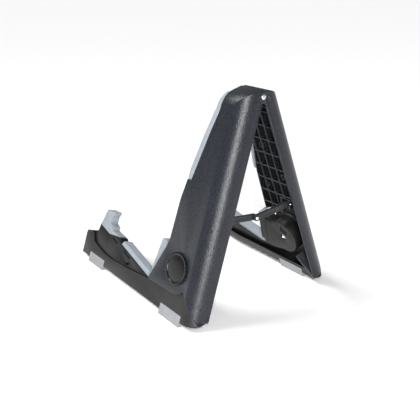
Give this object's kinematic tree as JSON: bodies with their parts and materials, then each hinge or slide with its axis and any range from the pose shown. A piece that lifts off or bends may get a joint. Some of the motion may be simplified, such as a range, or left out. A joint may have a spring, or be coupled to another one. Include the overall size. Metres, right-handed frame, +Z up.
{
  "type": "folding instrument stand",
  "caption": "Folding A-frame stand for a guitar or similar: hinged hollow legs with a folding brace, swing-out padded cradle arms and rubber feet.",
  "frame": {"origin": "on the ground, under the middle of the stand's overall box", "axes": "+Z up; -Y is the front, where the cradle arms point; +X is the right leg's side; the hinge axis runs along Y"},
  "size_m": [0.2392, 0.2757, 0.2733],
  "materials": {
    "leg_abs": "textured moulded ABS, charcoal",
    "inner_abs": "moulded ABS, black",
    "arm_abs": "moulded ABS, near black",
    "foot_abs": "moulded ABS, dark grey",
    "brace_nylon": "moulded nylon, dark grey",
    "grip_rubber": "soft moulded rubber, light grey",
    "foot_rubber": "moulded rubber, light grey",
    "cap_gloss": "polished ABS, black",
    "zinc_steel": "zinc-plated steel",
    "spring_steel": "spring steel"
  },
  "bodies": {
    "right_leg": {"right_leg_shell": "leg_abs", "right_inner_panel": "inner_abs", "right_panel_screws": "zinc_steel", "right_upper_pad": "grip_rubber", "right_boss_cap": "cap_gloss", "right_wave_washer": "spring_steel", "right_pivot_screw": "zinc_steel", "right_brace_bracket": "inner_abs", "right_brace_end_pin": "zinc_steel"},
    "left_leg": {"left_leg_shell": "leg_abs", "left_inner_panel": "inner_abs", "left_panel_screws": "zinc_steel", "left_upper_pad": "grip_rubber", "left_boss_cap": "cap_gloss", "left_wave_washer": "spring_steel", "left_pivot_screw": "zinc_steel", "left_brace_bracket": "inner_abs", "left_brace_end_pin": "zinc_steel", "hinge_pin": "zinc_steel"},
    "right_arm": {"right_cradle_arm": "arm_abs", "right_arm_screws": "zinc_steel", "right_hub_cover": "arm_abs", "right_finger_pad": "grip_rubber", "right_post_pad": "grip_rubber", "right_hook_pad": "grip_rubber", "right_hook_pin": "zinc_steel", "right_foot_cover": "foot_abs", "right_rear_rubber_foot": "foot_rubber", "right_front_rubber_foot": "foot_rubber"},
    "left_arm": {"left_cradle_arm": "arm_abs", "left_arm_screws": "zinc_steel", "left_hub_cover": "arm_abs", "left_finger_pad": "grip_rubber", "left_post_pad": "grip_rubber", "left_hook_pad": "grip_rubber", "left_hook_pin": "zinc_steel", "left_foot_cover": "foot_abs", "left_rear_rubber_foot": "foot_rubber", "left_front_rubber_foot": "foot_rubber"},
    "right_link": {"right_brace_link": "brace_nylon"},
    "left_link": {"left_brace_link": "brace_nylon", "brace_center_pin": "zinc_steel"}
  },
  "joints": [
    {"name": "leg_fold", "type": "hinge", "parent": "right_leg", "child": "left_leg", "pos_m": [0, 0.10475, 0.265], "axis": [0, -1, 0], "range_deg": [0, 38.7]},
    {"name": "right_arm_fold", "type": "hinge", "parent": "right_leg", "child": "right_arm", "pos_m": [0.07405, 0.08725, 0.05412], "axis": [-0.9435, 0, -0.3313], "range_deg": [0, 92.5]},
    {"name": "left_arm_fold", "type": "hinge", "parent": "left_leg", "child": "left_arm", "pos_m": [-0.07405, 0.08725, 0.05412], "axis": [-0.9435, 0, 0.3313], "range_deg": [0, 92.5]},
    {"name": "right_link_fold", "type": "hinge", "parent": "right_leg", "child": "right_link", "pos_m": [0.05485, 0.11425, 0.11998], "axis": [0, -1, 0], "range_deg": [0, 99.26]},
    {"name": "left_link_fold", "type": "hinge", "parent": "left_leg", "child": "left_link", "pos_m": [-0.05485, 0.11425, 0.11998], "axis": [0, 1, 0], "range_deg": [0, 99.26]}
  ],
  "couplings": [
    {"joint": "right_link_fold", "follows": "leg_fold", "ratio": 2.5649},
    {"joint": "left_link_fold", "follows": "leg_fold", "ratio": 2.5649}
  ]
}
